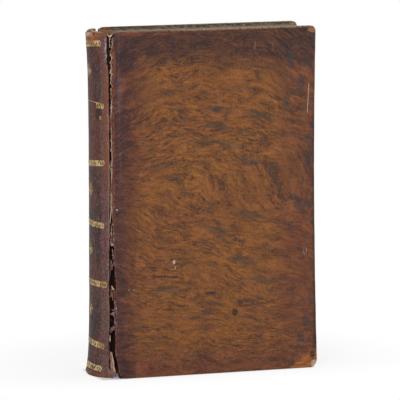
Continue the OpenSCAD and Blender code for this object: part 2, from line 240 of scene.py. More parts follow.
class Finish(Shading):
    """A material under construction, whose colour is laid on in coats. All sizes are in millimetres."""

    def __init__(self, name, roughness=0.5, specular=0.15):
        self.material = bpy.data.materials.new(name)
        super().__init__(self.material)
        self.shader = self.tree.nodes["Principled BSDF"]
        self.shader.inputs["Roughness"].default_value = roughness
        self.shader.inputs["Specular IOR Level"].default_value = specular
        self.at = self.scaled(self.node("ShaderNodeTexCoord", {}, (), "Object"), 1 / MM)

    def scaled(self, vector, scale):
        return self.node("ShaderNodeVectorMath", {"operation": "SCALE"}, {0: vector, "Scale": scale})

    def parts(self, vector):
        x = self.node("ShaderNodeSeparateXYZ", {}, (vector,))
        return x, x.output("Y"), x.output("Z")

    def across(self):
        """The two places of the piece's own map."""
        at = self.node("ShaderNodeUVMap", {"uv_map": "UVMap"}, ())
        return self.parts(self.scaled(at, 1 / (MAP_SCALE * MM)))[:2]

    def noise(self, size, detail=3, roughness=0.5, distortion=0.0, at=None):
        """Noise from 0 to 1 whose features are about size across."""
        inputs = {"Vector": at or self.at, "Scale": 1 / size, "Detail": detail, "Roughness": roughness,
                  "Distortion": distortion}
        return self.node("ShaderNodeTexNoise", {}, inputs)

    def drawn(self, x, y, z, *texture):
        """Noise over three values of its own, which draw its features out."""
        return self.noise(1, *texture, at=self.node("ShaderNodeCombineXYZ", {}, (x, y, z)))

    def sway(self, reach, *texture):
        """Noise that moves a line to and fro by up to half of reach."""
        return reach * (self.noise(*texture) - 0.5)

    def cells(self, size, feature="F1"):
        inputs = {"Vector": self.at, "Scale": 1 / size}
        return self.node("ShaderNodeTexVoronoi", {"feature": feature}, inputs)

    def mix(self, share, a, b):
        """Colour a with a share of colour b over it."""
        inputs = {key: paint(c) if isinstance(c, str) else c for key, c in ((6, a), (7, b))}
        return self.node("ShaderNodeMix", {"data_type": "RGBA"}, {0: share, **inputs}, 2)

    def coat(self, share, colour):
        """Lays a share of a colour over what is there."""
        self.colour = self.mix(share, self.colour, colour)

    def coats(self, pattern, *coats, within=None):
        """Lays colours where a pattern rises from low to high: low, high, strength and colour of each."""
        for low, high, strength, colour in coats:
            share = pattern.rise(low, high) * strength
            self.coat(share * within if within else share, colour)

    def bump(self, height, depth, after=None):
        """A normal from a height of 0 to 1 that stands for a depth."""
        inputs = {"Height": height, "Distance": depth * MM, "Strength": 1.0}
        if after:
            inputs["Normal"] = after
        return self.node("ShaderNodeBump", {}, inputs)

    def done(self, relief, **varying):
        """Links the colour, the relief and whatever else varies to the shader."""
        for key, value in {"Base Color": self.colour, "Normal": relief, **varying}.items():
            self.tree.links.new(value.socket, self.shader.inputs[key])
        return self.material


def spot(u, v, wobble, mark_u, mark_v, width, height):
    """A mask that is 1 inside a blot on the cover, with a soft rim that wobble makes ragged."""
    reach = ((u - mark_u) / width) ** 2 + ((v - mark_v) / height) ** 2
    return (reach + wobble).rise(1.5, 0.5)


def scratch(u, v, foot_u, foot_v, head_u, head_v, width):
    """A mask for one thin upright line from foot to head."""
    slope = (head_u - foot_u) / (head_v - foot_v)
    aside = (u - slope * v - (foot_u - slope * foot_v)).size()
    return aside.rise(width, width * 0.3) * v.rise(foot_v, foot_v + 2) * v.rise(head_v, head_v - 2)


# The middles of the greyer streaks over the whole cover, across from the joint edge and up from the foot
DARK_STREAKS = [
    (69.9, 164.6), (66.6, 155.4), (97.7, 160.4), (89.5, 132.7), (76.4, 142.6), (89.3, 98.3), (66.1, 90),
    (85.8, 70.2), (97, 57.1), (36.2, 54)]

# Marks on the front cover, one of them a painted highlight: place, half width and half height in
# millimetres, colour and strength
FRONT_MARKS = [
    (13, 213.4, 9, 1.2, "#7e4636", 0.6), (31, 212.8, 6, 0.8, "#7a4536", 0.45),
    (2.1, 105.4, 0.55, 0.4, "#ddd4cc", 0.9), (12.7, 55.2, 0.4, 0.4, "#c8b8a8", 0.7),
    (9.4, 55.4, 0.3, 0.6, "#c8b8a8", 0.6), (17, 6.5, 5.5, 3.2, "#844b38", 0.7),
    (36, 8.5, 7, 1.8, "#84503c", 0.55), (92, 4, 16, 2.2, "#7e4c34", 0.5),
    (118, 60, 12, 38, "#6d3e2c", 0.35), (9, 197, 6, 7, "#30232b", 0.6), (26, 203, 8, 3, "#33262a", 0.4),
    # The entry at 4.5, 178 is a painted highlight on the fold beside the joint
    (4.5, 178, 1.8, 13, "#6d5a62", 0.22), (7.5, 6.5, 6, 5.5, "#3b2627", 0.6),
    (8, 160, 3.5, 8, "#3a272d", 0.5), (131.5, 212.5, 3.0, 1.6, "#a5714f", 0.7),
    (0.9, 196, 1.2, 10, "#7a4a32", 0.7), (130.5, 8.5, 1.8, 2.4, "#33241c", 0.8),
    (132, 2.5, 2.4, 2.4, "#c0ac92", 0.7), (78.9, 37.9, 2.0, 2.2, "#2c2024", 0.85),
    (82.3, 43.4, 1.8, 1.7, "#33262a", 0.75), (86, 41.6, 5, 0.7, "#3d241c", 0.7),
    (63.8, 50.7, 2.6, 0.8, "#33262a", 0.8), (63.9, 60.7, 1.5, 0.7, "#3a2a28", 0.6),
    (39.5, 61.9, 2.4, 0.8, "#2f2630", 0.8), (28.1, 29.4, 1.6, 1.3, "#3a2a24", 0.6),
    (39.0, 71.3, 0.9, 1.3, "#c8b0a0", 0.8), (39.8, 67.6, 0.4, 1.0, "#b59a80", 0.7),
    (116.5, 194, 2.2, 5.5, "#3b3a3f", 0.65), (114.3, 169, 1.8, 5.0, "#3b383a", 0.55),
    (123, 181, 2.4, 4.0, "#3b383c", 0.5), (125.6, 30.3, 1.8, 3.4, "#3b383a", 0.6),
    (122.2, 21, 2.2, 2.6, "#3d393a", 0.5), (115.9, 90.7, 2.0, 3.0, "#40393a", 0.45),
    (129, 42.8, 1.6, 4.0, "#3b3638", 0.5)]

# Scratches on the front cover: foot, head, half width and strength
FRONT_SCRATCHES = [
    (127.7, 160, 129.0, 180, 0.32, 0.55), (93.0, 200, 93.6, 207, 0.25, 0.3),
    (105.5, 199, 104.8, 206, 0.25, 0.15), (56.5, 178, 59.0, 186, 0.25, 0.14),
    (124.4, 71.5, 124.8, 75.5, 0.25, 0.5), (125.5, 70.5, 125.8, 74.0, 0.22, 0.5),
    (126.6, 72.0, 126.9, 76.5, 0.25, 0.45)]


def stained_calf(name, depth_at, marks=(), scratches=(), worn_corner=False):
    """Polished calf, stained in soft lines that arch over the board, and darker towards its rims.

    depth_at gives the depth below the outer face from the place across the book and the height."""
    calf = Finish(name)
    x, y, v = calf.parts(calf.at)
    u = x - JOINT_X / MM
    depth, thick = depth_at(y, v), COVER_T / MM
    wide, high = BOARD_W / MM, BOOK_H / MM

    # The stain runs in bands, streaks and hairs along the arches
    arch = v + 0.0042 * v.rise(90, 190) * (u - 52) ** 2 + 0.3 * v.rise(150, 90) * v.rise(8, 50) * u
    arch = arch + calf.sway(26, 46, 2) + calf.sway(3.4, 9)
    bands = calf.drawn(u / 17, arch / 6, 8, 5, 0.58, 0.3)
    streaks = calf.drawn(u / 7, arch / 1.8, 0, 5, 0.6, 0.3)
    hairs = calf.drawn(u / 3, arch / 0.8, 4, 4, 0.6, 0.5)
    upright = calf.drawn(u / 0.7, v / 9, 6, 3, 0.6)
    grain = calf.noise(1.1, 4, 0.7)
    lively = 0.35 + 0.65 * calf.noise(24, 3, 0.6).rise(0.4, 0.58)
    calf.colour = calf.mix(bands.rise(0.38, 0.6), "#6d4229", "#8a572b")
    calf.coats(calf.noise(46, 3, 0.55), (0.44, 0.66, 0.6, "#6f402d"))
    calf.coats(bands, (0.47, 0.36, 0.62, "#4a3b30"))
    calf.coats(streaks, (0.5, 0.66, 0.6, "#a86d30"), (0.5, 0.35, 0.78, "#3c2a1d"), within=lively)
    calf.coats(hairs, (0.52, 0.64, 0.4, "#a16a35"), (0.48, 0.36, 0.52, "#36231b"), within=lively)
    calf.coats(upright, (0.52, 0.68, 0.22, "#8b6348"), (0.46, 0.32, 0.22, "#412a20"))
    calf.coats(grain, (0.52, 0.68, 0.5, "#9a6a40"), (0.48, 0.32, 0.6, "#38241e"))
    wobble = calf.sway(1.1, 3.2, 4, 0.6)
    for mark_u, mark_v in DARK_STREAKS:
        streak = spot(u, v + 0.2 * (u - mark_u), 2 * wobble, mark_u, mark_v, 9, 2.4)
        calf.coat(streak * 0.56, "#453d34")

    # It is darker towards the rims
    rough_rim = calf.sway(14, 15, 5, 0.62)
    left = ((u + rough_rim) / (17 + 10 * v.rise(95, 185))).rise(1.3, 0.2)
    top = (v + rough_rim + 0.06 * u).rise(high - 25, high - 8)
    foot = (v + rough_rim).rise(24, 5) * 0.9
    right = (u + rough_rim).rise(wide - 34, wide - 10) * 0.8
    beside = (u + 0.4 * rough_rim).rise(9, 3)
    tone = (0.6 * calf.drawn(u / 11, arch / 5, 6, 5, 0.62) + 0.4 * grain).rise(0.4, 0.6)
    calf.coat(left * 0.85, calf.mix(tone, "#3c2629", "#5f372d"))
    calf.coat(foot.larger(right) * 0.85, calf.mix(tone, "#482d28", "#784734"))
    calf.coat(top * 0.86, calf.mix(tone, "#2b2226", "#55362b"))
    calf.coat(beside * 0.6, calf.mix(tone, "#36252a", "#573a3c"))
    blots = calf.drawn(u / 6, v / 10, 2, 5, 0.6, 0.5).rise(0.53, 0.62)
    calf.coat(blots * (u + rough_rim).rise(wide - 26, wide - 14) * 0.6, "#3b3638")
    # A painted highlight in broken streaks along the fold beside the joint
    painted_ridge_highlight = (u - 4.1 + calf.sway(3, 14, 4)).size().rise(1.1, 0.1) * v.rise(80, 150)
    calf.coat(painted_ridge_highlight * calf.drawn(u / 1.5, v / 3, 1, 5, 0.65).rise(0.42, 0.6) * 0.3, "#806e6a")
    if worn_corner:
        bare = (u - 1.45 * v + calf.sway(5, 4)).rise(112, 116) * u.rise(106, 116)
        calf.coat(bare * 0.9, calf.mix(streaks.rise(0.4, 0.6), "#854e2b", "#b0703c"))
    clouds = calf.drawn(u / 13, arch / 6.5, 3, 4, 0.6)
    calf.coat(clouds.rise(0.52, 0.67) * 0.32 * (1 - top) * (1 - 0.5 * foot), "#a8673e")
    calf.coats(clouds, (0.47, 0.33, 0.36, "#3c2c28"))
    fore = (u + 0.15 * rough_rim).rise(wide - 4.2, wide - 1.6) * v.rise(190, 150) * v.rise(8, 14)
    calf.coat(fore * 0.72, "#2e2127")

    # Single marks, wear, dirt and painted highlights
    outside = depth.rise(thick * 0.6, thick * 0.4)
    for *place, colour, strength in marks:
        calf.coat(spot(u, v, wobble, *place) * outside * strength, colour)
    figure = calf.drawn(u / 6, arch / 1.5, 9, 5, 0.62, 0.9)
    calf.coats(figure, (0.52, 0.68, 0.26, "#a06a48"), (0.48, 0.33, 0.34, "#2f1f1d"))
    edge = v.smaller(high - v).smaller(u.smaller(wide - u))
    worn = edge.rise(1.3, 0.3) * calf.noise(3, 4, 0.65).rise(0.42, 0.6)
    calf.coat(worn * 0.6 * (1 - 0.8 * fore), "#96614a")
    # A painted highlight along the board's top edge
    upper_edge_highlight = v.rise(high - 1.1, high - 0.4) * u.rise(22, 60) * grain.rise(0.42, 0.6)
    calf.coat(upper_edge_highlight * 0.7, "#b39b78")
    specks = calf.cells(1.5).rise(0.13, 0.04) * calf.noise(16).rise(0.46, 0.6)
    calf.coat(specks * 0.42, "#a08a76")
    for *place, strength in scratches:
        calf.coat(scratch(u, v, *place) * outside * strength, "#c9c2c0")

    # Dust inside the upper edge, and a burnt brown beside the joint
    inside = depth.rise(thick - 0.5, thick - 0.25) * v.rise(high - 16, high - 4)
    inside = inside * v.rise(high - 0.1, high - 0.5)
    dust = calf.drawn(u / 2.4, v / 0.7, y / 0.7, 5, 0.7) + 0.14 * v.rise(high, high - 2.4)
    dusty = calf.mix(dust.rise(0.46, 0.72), "#3d3830", "#8d836f")
    burnt = calf.mix(dust.rise(0.46, 0.66), "#5d3622", "#a66c47")
    calf.coat(inside * 0.92, calf.mix((u + calf.sway(5, 4)).rise(13, 6) * 0.8, dusty, burnt))
    creases = calf.cells(0.9, "DISTANCE_TO_EDGE").rise(0, 0.16)
    relief = calf.bump(calf.noise(0.35, 2) * 0.4 + creases * 0.3 + streaks * 0.4, 0.06)
    relief = calf.bump(calf.noise(3.5, 4, 0.6), 0.16, relief)
    gloss = 0.55 + 0.15 * (bands - 0.5) + 0.2 * worn - 0.08 * left.larger(top)
    return calf.done(relief, Roughness=gloss)


def back_calf():
    """The darker calf of the back. Its map gives the way round from the torn edge, and the height."""
    calf = Finish("back_calf")
    s, v = calf.across()
    high = BOOK_H / MM
    clouds = calf.noise(22, 5, 0.64)
    upright = calf.drawn(s / 0.9, v / 7, 5, 5, 0.66, 0.5)
    fine = calf.noise(1.6, 5, 0.7)
    reddish = calf.drawn(s / 11, v / 26, 3, 4, 0.6) + 0.26 * v.rise(128, 138) * v.rise(174, 168)
    calf.colour = calf.mix(clouds.rise(0.4, 0.6), "#3b2b2b", "#513a34")
    calf.coats(reddish, (0.46, 0.64, 0.68, "#6b3d32"))
    calf.coats(upright, (0.52, 0.66, 0.45, "#725c56"), (0.48, 0.36, 0.6, "#2a1f1f"))
    calf.coats(fine, (0.53, 0.66, 0.5, "#8c756a"), (0.47, 0.34, 0.5, "#2a1e1e"))

    # Rubbed and torn along the joint; the lighter rubbed band there also holds a painted sheen
    band = s + calf.sway(2.6, 8, 4, 0.6)
    # Rubbed wear with a painted sheen, lighter along the front of the back
    rubbed_and_sheen = band.rise(8, 4) * (0.35 + 0.65 * fine.rise(0.4, 0.56))
    calf.coat(rubbed_and_sheen * 0.66, calf.mix(clouds.rise(0.42, 0.58), "#875d5c", "#7c6258"))
    strip = band.rise(3.6, 2.2) * v.rise(118, 132) * v.rise(200, 188)
    calf.coat(strip * 0.7, "#854f37")
    chips = calf.drawn(s / 0.9, v / 1.6, 7, 3, 0.6).rise(0.5, 0.56) * s.rise(2.4, 0.4)
    chips = chips * calf.noise(12).rise(0.42, 0.58)
    torn = (s + calf.sway(0.5, 1.2)).rise(0.5, 0.15)
    calf.coat((chips * 0.75).larger(torn * 0.45), "#a08070")
    rubs = (s - 1.6).size().rise(1.4, 0.3) * v.rise(196, 201) * v.rise(213, 209) * fine.rise(0.4, 0.56)
    calf.coat(rubs * 0.8, "#b9a4a0")

    # Worn at the caps, with a painted highlight along the cap's top rim
    cap = (v + calf.sway(2.8, 2.6, 4)).rise(high - 8.2, high - 5.6) * s.rise(4.5, 8)
    calf.coat(cap * 0.88, calf.mix(fine.rise(0.4, 0.6), "#6e3a29", "#b8704c"))
    # A painted highlight along the top rim of the cap
    rim = (v + calf.sway(2.4, 1.4, 4)).rise(high - 3.4, high - 1.2) * s.rise(10, 15)
    calf.coat(rim * 0.8, "#d0bba2")
    lip = (v + calf.noise(1.4, 4)).rise(high - 1.8, high - 0.6) * s.rise(10, 6)
    calf.coat(lip * 0.8, "#8a5338")
    tail = (v + calf.sway(2.4, 2.6)).rise(4.6, 1.2)
    calf.coat(tail * 0.7, calf.mix(fine.rise(0.4, 0.6), "#5a3128", "#96604c"))
    relief = calf.bump(calf.noise(0.4) * 0.4 + fine * 0.6 + upright * 0.6, 0.28)
    relief = calf.bump(calf.cells(1.1, "DISTANCE_TO_EDGE").rise(0, 0.14), 0.05, relief)
    gloss = 0.56 + 0.2 * (clouds - 0.5) + 0.1 * rubbed_and_sheen
    return calf.done(relief, Roughness=gloss)


def gold_leaf():
    """Old gold, rubbed away in places down to the leather."""
    leaf = Finish("old_gold", specular=0.4)
    rub = leaf.noise(1.7, 5, 0.66).rise(0.5, 0.6)
    leaf.colour = leaf.mix(leaf.noise(5).rise(0.38, 0.62), "#a8834a", "#dcc088")
    leaf.coat(rub * 0.85, "#5a4334")
    return leaf.done(leaf.bump(leaf.noise(0.5), 0.04), Metallic=0.3 * (1 - rub), Roughness=0.45 + 0.2 * rub)


def raw_leather(name, dark, light):
    """Torn leather, where the pale fibres of the flesh side show."""
    hide = Finish(name, 0.85)
    x, y, v = hide.parts(hide.at)
    fibres = hide.drawn(x / 0.5, v / 2.5, y / 0.5, 4, 0.65, 0.6)
    hide.colour = hide.mix(fibres.rise(0.35, 0.65), dark, light)
    return hide.done(hide.bump(fibres, 0.25))


def torn_fibres():
    """Shreds of leather and cord, whose map tells how pale each place is."""
    hide = Finish("torn_fibres", 0.88)
    x, y, v = hide.parts(hide.at)
    _, pale = hide.across()
    fibres = hide.drawn(x / 0.45, v / 1.6, y / 0.45, 4, 0.65, 0.6)
    low = v.rise(88, 80) * v.rise(24, 30) * (1 - v.rise(47, 50) * v.rise(62, 58))
    brown = hide.mix(low * 0.8, "#8a5644", "#85606a")
    hide.colour = hide.mix(fibres.rise(0.42, 0.58), "#40241e", brown)
    share = (pale + 1.6 * (fibres - 0.5)).rise(0.35, 0.95)
    hide.coat(share, hide.mix(low * 0.7, "#c0a68f", "#bfabac"))
    return hide.done(hide.bump(fibres, 0.2))


def gutter_dirt_and_shade(finish, x, reach):
    """Lays dark glue and dirt along the back of the leaves and in the inner hinge, darkened further as
    painted shade in the cracked joint.
    """
    finish.coat((x - JOINT_X / MM + finish.sway(1.2, 3)).rise(2 * reach, reach), "#2b1712")


def paper(name, clean, stained, size=18):
    """Old rag paper with stains and fibres."""
    sheet = Finish(name, 0.9)
    sheet.colour = sheet.mix(sheet.noise(size, 4, 0.6).rise(0.42, 0.68) * 0.4, clean, stained)
    foxing = sheet.cells(9).rise(0.16, 0.05) * sheet.noise(30, 2).rise(0.4, 0.6)
    sheet.coat(foxing * 0.5, "#8a5f38")
    sheet.coats(sheet.noise(1.5, 4, 0.65), (0.55, 0.7, 0.2, stained))
    # Dark glue and dirt with painted shade at the gutter
    gutter_dirt_and_shade(sheet, sheet.parts(sheet.at)[0], 3.4)
    return sheet.done(sheet.bump(sheet.noise(0.7, 4, 0.6), 0.06))


def leaf_edges():
    """The cut edges of the leaves, which are brown with dust at the head."""
    edges = Finish("leaf_edges", 0.92)
    x, y, v = edges.parts(edges.at)
    lines = edges.drawn(x / 40, y / 0.16, v / 60, 3, 0.7)
    sections = edges.drawn(x / 90, y / 1.4, v / 120, 2, 0.5)
    dust = edges.noise(5, 5, 0.65)
    dirty = edges.mix(dust.rise(0.36, 0.66), "#5a5244", "#82785f")
    dirty = edges.mix(lines.rise(0.45, 0.65) * 0.5, dirty, "#9d9278")
    dirty = edges.mix(edges.noise(0.8, 3, 0.6).rise(0.56, 0.66) * 0.5, dirty, "#b9ad95")
    head = v.rise(BLOCK_HIGH.z / MM - 2.6, BLOCK_HIGH.z / MM - 0.8)
    edges.colour = edges.mix(lines.rise(0.35, 0.65), "#8f7c5c", "#c9b78f")
    edges.coats(sections, (0.55, 0.4, 0.5, "#6f5c43"))
    edges.coat(head * 0.9, dirty)
    edges.coat(head * (x - JOINT_X / MM).rise(17, 9) * 0.75, "#6a4431")
    # Dark glue and dirt with painted shade at the gutter
    gutter_dirt_and_shade(edges, x, 1.8)
    return edges.done(edges.bump(lines * 0.7 + dust * 0.3, 0.12))


def millboard():
    """Rope fibre pressed in thin layers."""
    board = Finish("millboard", 0.95, 0.1)
    x, y, v = board.parts(board.at)
    plies = board.drawn(x / 8, y / 0.3, v / 8, 4, 0.65)
    board.colour = board.mix(plies.rise(0.35, 0.65), "#5a4a3a", "#86745a")
    # Dark glue and dirt with painted shade at the gutter
    gutter_dirt_and_shade(board, x, 5)
    return board.done(board.bump(plies, 0.2))


def thread(name, dark, light, size):
    """Twisted thread: ply marks running round the cord, and dirt with painted shade towards the joints."""
    twist = Finish(name, 0.85, 0.2)
    x, y, v = twist.parts(twist.at)
    strands = twist.drawn(x / size, y / size, v / (size * 0.5), 3, 0.6, 1)
    twist.colour = twist.mix(strands.rise(0.35, 0.65), dark, light)
    # Dirt and painted shade where the thread runs inside the back
    twist.coat((x - JOINT_X / MM).rise(-5, -3) * 0.8, "#5f3c29")
    return twist.done(twist.bump(strands, 0.2))


def unit_grid(columns, rows):
    """A flat grid whose points run from 0 to 1 along x and along y, facing up."""
    bm = bmesh.new()
    bmesh.ops.create_grid(bm, x_segments=columns, y_segments=rows, size=0.5)
    bmesh.ops.translate(bm, verts=bm.verts, vec=(0.5, 0.5, 0))
    return bm


def lay_map(bm, place):
    """Gives each corner of a face a place on the piece's map, worked out from its point."""
    layer = bm.loops.layers.uv.new("UVMap")
    for face in bm.faces:
        for loop in face.loops:
            loop[layer].uv = [MAP_SCALE * c for c in place(loop.vert.co)]


def face_outwards(bm):
    bmesh.ops.recalc_face_normals(bm, faces=bm.faces)


def thicken(bm, thickness):
    bmesh.ops.solidify(bm, geom=bm.faces[:], thickness=thickness)


def extrude_rim(bm, rim, move):
    """Extrudes a rim of edges, moves each new point to move(point) and returns the new rim."""
    made = bmesh.ops.extrude_edge_only(bm, edges=rim)["geom"]
    points = [g for g in made if isinstance(g, bmesh.types.BMVert)]
    for point in points:
        point.co = move(point)
    fresh = set(points)
    return [g for g in made if isinstance(g, bmesh.types.BMEdge) and set(g.verts) <= fresh]


def add_object(name, data):
    obj = bpy.data.objects.new(name, data)
    bpy.context.scene.collection.objects.link(obj)
    return obj


def piece(name, bm, finish, body, replaces=(), sharp=40):
    """Turns a bmesh into a finished piece that rides on a body."""
    mesh = bpy.data.meshes.new(name)
    bm.to_mesh(mesh)
    bm.free()
    mesh.shade_smooth()
    mesh.set_sharp_from_angle(angle=radians(sharp))
    mesh.materials.append(finish)
    obj = add_object(name, mesh)
    if body:
        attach(obj, body)
    if replaces:
        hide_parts(*replaces)
    return obj


def round_corner(point, corner, radius):
    """Pulls a point near a corner of the board in, so that the outline there is an arc."""
    inward = Vector((1 if corner.x < BOARD_W / 2 else -1, 1 if corner.y < BOOK_H / 2 else -1))
    start = corner + inward * CORNER_ZONE
    local = (start - point) * inward / CORNER_ZONE
    reach = max(local)
    if min(local) <= 0 or reach > PAST_CORNER:
        return point
    soft = reach * radius / CORNER_ZONE
    straight = reach - soft
    if min(local) <= straight:
        return point
    if local.x >= local.y:
        turn = (local.y - straight) / soft / 2
    else:
        turn = 1 - (local.x - straight) / soft / 2
    bent = Vector((cos(turn * pi / 2), sin(turn * pi / 2))) * soft
    local = Vector((straight, straight)) + bent
    return start - local * CORNER_ZONE * inward


# Where the front leather's joint edge lies, from foot to head: height, and place across the board
TORN_EDGE = ((0, 4.4), (6, 2.8), (17, 0.7), (25, 0.9), (56, 1.5), (80, 0.4), (108, -0.5), (150, 0.1),
             (215, 0.6))


def torn_joint_edge(v):
    """Where the front cover's leather ends at the joint, at a height."""
    rough = 0.35 * ripple(1, 4, v) + 0.2 * ripple(2, 1.1, v)
    return (curve_through(TORN_EDGE, v / MM) + rough * clamp((BOOK_H - v) / (6 * MM))) * MM


def whole_joint_edge(v):
    """The same for the rear cover, cut back at its two corners."""
    above = BOOK_H - BACK_CORNER_H
    return BACK_CORNER_W * clamp(1 - v / BACK_CORNER_H) + HEAD_CUT_W * clamp(
        (v - above) / (BACK_CORNER_H - REAR_JOINT_CORNER_R))


def fore_edge(v):
    """Where a board ends at the fore-edge, a little hollow with wear."""
    hollow = FORE_EDGE_WEAR * (1 - (2 * v / BOOK_H - 1) ** 2)
    return BOARD_W - hollow + 0.12 * MM * ripple(5, 9, v)


def cover_leather(side, finish, place, joint_edge, joint_corner_r, seed):
    """The leather on one board: outer face, rounded edges and turn-ins, in board coordinates.

    Across is x from the joint edge, y the depth from the outer face, z the height."""
    bm = unit_grid(104, 168)
    outward = bm.verts.layers.float_vector.new("outward")
    foot = bm.verts.layers.float_vector.new("foot")
    joint_side = {v for v in bm.verts if v.co.x < 1e-6}
    corners = [
        (Vector((joint_edge(BOOK_H), BOOK_H - EDGE_R)), joint_corner_r),
        (Vector((BOARD_W - EDGE_R, BOOK_H - EDGE_R)), HEAD_CORNER_R - EDGE_R),
        (Vector((BOARD_W - EDGE_R, EDGE_R)), TAIL_CORNER_R - EDGE_R),
        (Vector((joint_edge(0), EDGE_R)), FOOT_CORNER_R)]
    for point in bm.verts:
        v = between(EDGE_R, BOOK_H - EDGE_R, point.co.y)
        flat = Vector((between(joint_edge(v), fore_edge(v) - EDGE_R, point.co.x), v))
        for corner, radius in corners:
            flat = round_corner(flat, corner, radius)
        point.co = (flat.x, 0, flat.y)
    rim = [e for e in bm.edges if e.is_boundary and not joint_side.issuperset(e.verts)]
    middle = Vector((BOARD_W / 2, 0, BOOK_H / 2))
    for point in {v for e in rim for v in e.verts}:
        beside = [e.other_vert(point).co for e in point.link_edges if e.is_boundary]
        along = (beside[1] - beside[0]).normalized()
        aside = Vector((along.z, 0, -along.x))
        point[outward] = aside if aside.dot(point.co - middle) > 0 else -aside
        point[foot] = point.co

    # Round the edge, straight down and round on to the inner side: how far out, and how deep
    edge = [(EDGE_R * sin(radians(turn)), EDGE_R * (1 - cos(radians(turn))))
            for turn in (22.5, 45, 67.5, 90)]
    edge += [(EDGE_R - INNER_R * (1 - cos(radians(turn))),
              COVER_T - INNER_R * (1 - sin(radians(turn)))) for turn in (0, 30, 60, 90)]
    for out, deep in edge:
        rim = extrude_rim(bm, rim, lambda p: p[foot] + p[outward] * out + Vector((0, deep, 0)))

    def turned(p, width, depth):
        return Vector((min(p[foot].x, BOARD_W - width), depth,
                       min(max(p[foot].z, width), BOOK_H - width)))

    for width in (TURN_IN_W * 0.5, TURN_IN_W):
        rim = extrude_rim(bm, rim, lambda p: turned(p, width, COVER_T))
    extrude_rim(bm, rim, lambda p: turned(p, TURN_IN_W, COVER_T - TURNED_T))
    bmesh.ops.remove_doubles(bm, verts=bm.verts, dist=1e-6)
    outer = set(bm.verts)
    thicken(bm, TURNED_T)
    for point in bm.verts:
        if point not in outer and point.co.y < TURNED_T * 1.02:
            point.co.y = SKIN_T

    # The board's slight bow, and the fold that opening has pressed in beside the joint
    for point in bm.verts:
        u, v = point.co.x, point.co.z
        bow = 0.14 * ripple(seed, 55, u, 0, v) + 0.05 * ripple(seed + 1, 9, u, 0, v)
        fold = 0.22 * exp(-((u - 5 * MM) / (2 * MM)) ** 2) if point.co.y < COVER_T / 2 else 0
        point.co.y += (bow - fold * clamp(v / (40 * MM))) * MM
    bm.transform(place)
    if place.determinant() < 0:
        bmesh.ops.reverse_faces(bm, faces=bm.faces)
    piece(f"{side}_calf", bm, finish, f"{side}_cover", [f"{side}_leather"])


def share_of_middle(a):
    """1 at the middle of the back, falling to 0 at the joints."""
    return max(0.0, cos(a * pi / 2 / (JOINT_ANGLE + radians(2)))) ** 1.5


def dent(a, z):
    """Small unevenness of the leather on the back."""
    s = a * SPINE_R
    return 0.1 * MM * ripple(11, 14, s, z) + 0.04 * MM * ripple(12, 3, s, z)


def on_back(a, lift, z):
    """A point on the back: angle a round it from its middle, lifted off the leather."""
    flare = HEAD_FLARE * exp((z - BOOK_H) / HEAD_FLARE_FALL)
    flare += TAIL_FLARE * exp(-z / TAIL_FLARE_FALL)
    flare += TAIL_LIP * exp(-max(0.0, z - TAIL_WEAR * wear(a)) / TAIL_LIP_FALL)
    reach = SPINE_R + lift + flare * share_of_middle(a) + dent(a, z)
    return Vector((SPINE_X - reach * cos(a), MIDDLE_Y + reach * sin(a), z))


# How much more of the back's leather is lost along its front edge: height, and width in millimetres
BACK_EDGE = ((0, -2.7), (3.5, -2.1), (7, 0.3), (16, 0.2), (22, 0), (80, 0), (92, -0.4), (165, -0.5),
             (175, 0), (190, 0), (197, 0.9), (211, 1.1), (215, 0.7))


def torn_back_edge(z):
    """The angle at which the back's leather ends at the cracked joint."""
    rough = 0.45 * ripple(21, 7, z) + 0.3 * ripple(22, 1.6, z)
    return FRONT_EDGE_ANGLE + (rough + curve_through(BACK_EDGE, z / MM)) * MM / SPINE_R


def wear(a):
    """Share of the wear at the caps, which is deepest a little behind the middle of the back."""
    return exp(-((a - WEAR_MIDDLE) / WEAR_REACH) ** 2)


def worn_height(a, z):
    """Where a height on the back comes to lie once the caps are worn."""
    lip = 0.3 * MM * ripple(31, 2.2, a * SPINE_R)
    down = eased(z, BOOK_H - 14 * MM, BOOK_H) * (0.6 * MM + CAP_WEAR * wear(a) + lip)
    up = max(0.0, 1 - z / TAIL_WEAR_ZONE) * (TAIL_WEAR * wear(a) + max(0.0, lip))
    return z - down + up


def spine_leather(finish):
    """The leather over the back, thicker where it turns over at the caps."""
    bm = unit_grid(80, 230)

    def bend(point):
        z = between(FLOOR_GAP, BOOK_H, point.y)
        return between(REAR_EDGE_ANGLE, torn_back_edge(z), point.x), z

    lay_map(bm, lambda p: ((bend(p)[0] - FRONT_EDGE_ANGLE) * SPINE_R, bend(p)[1]))
    for point in bm.verts:
        a, z = bend(point.co)
        point.co = on_back(a, 0, worn_height(a, z))
    outer = set(bm.verts)
    thicken(bm, SPINE_LEATHER_T)
    for point in bm.verts:
        if point in outer:
            continue
        inward = Vector((SPINE_X - point.co.x, MIDDLE_Y - point.co.y, 0)).normalized()
        a = atan2(-inward.y, inward.x)
        z = point.co.z
        growth = exp(-z / CAP_FALL) + exp(-max(0, BOOK_H - MM - z) / CAP_FALL)
        point.co += inward * (CAP_T - SPINE_LEATHER_T) * growth * share_of_middle(a)
    lips = [e for e in bm.edges if e.calc_face_angle(0) > radians(60)]
    bmesh.ops.bevel(bm, geom=lips, offset=LIP_R, segments=2, profile=0.5, affect="EDGES", material=-1,
                    clamp_overlap=True)
    piece("spine_calf", bm, finish, "text", ["spine_leather"], sharp=60)


def wrap(bm, z_middle, lift=LEAF_LIFT, a_middle=0.0, tilt=0.0):
    """Bends a flat shape, drawn in metres about its own middle, round the back."""
    for point in bm.verts:
        z = z_middle + point.co.y + tilt * point.co.x
        point.co = on_back(a_middle + point.co.x / SPINE_R, lift + point.co.z, z)


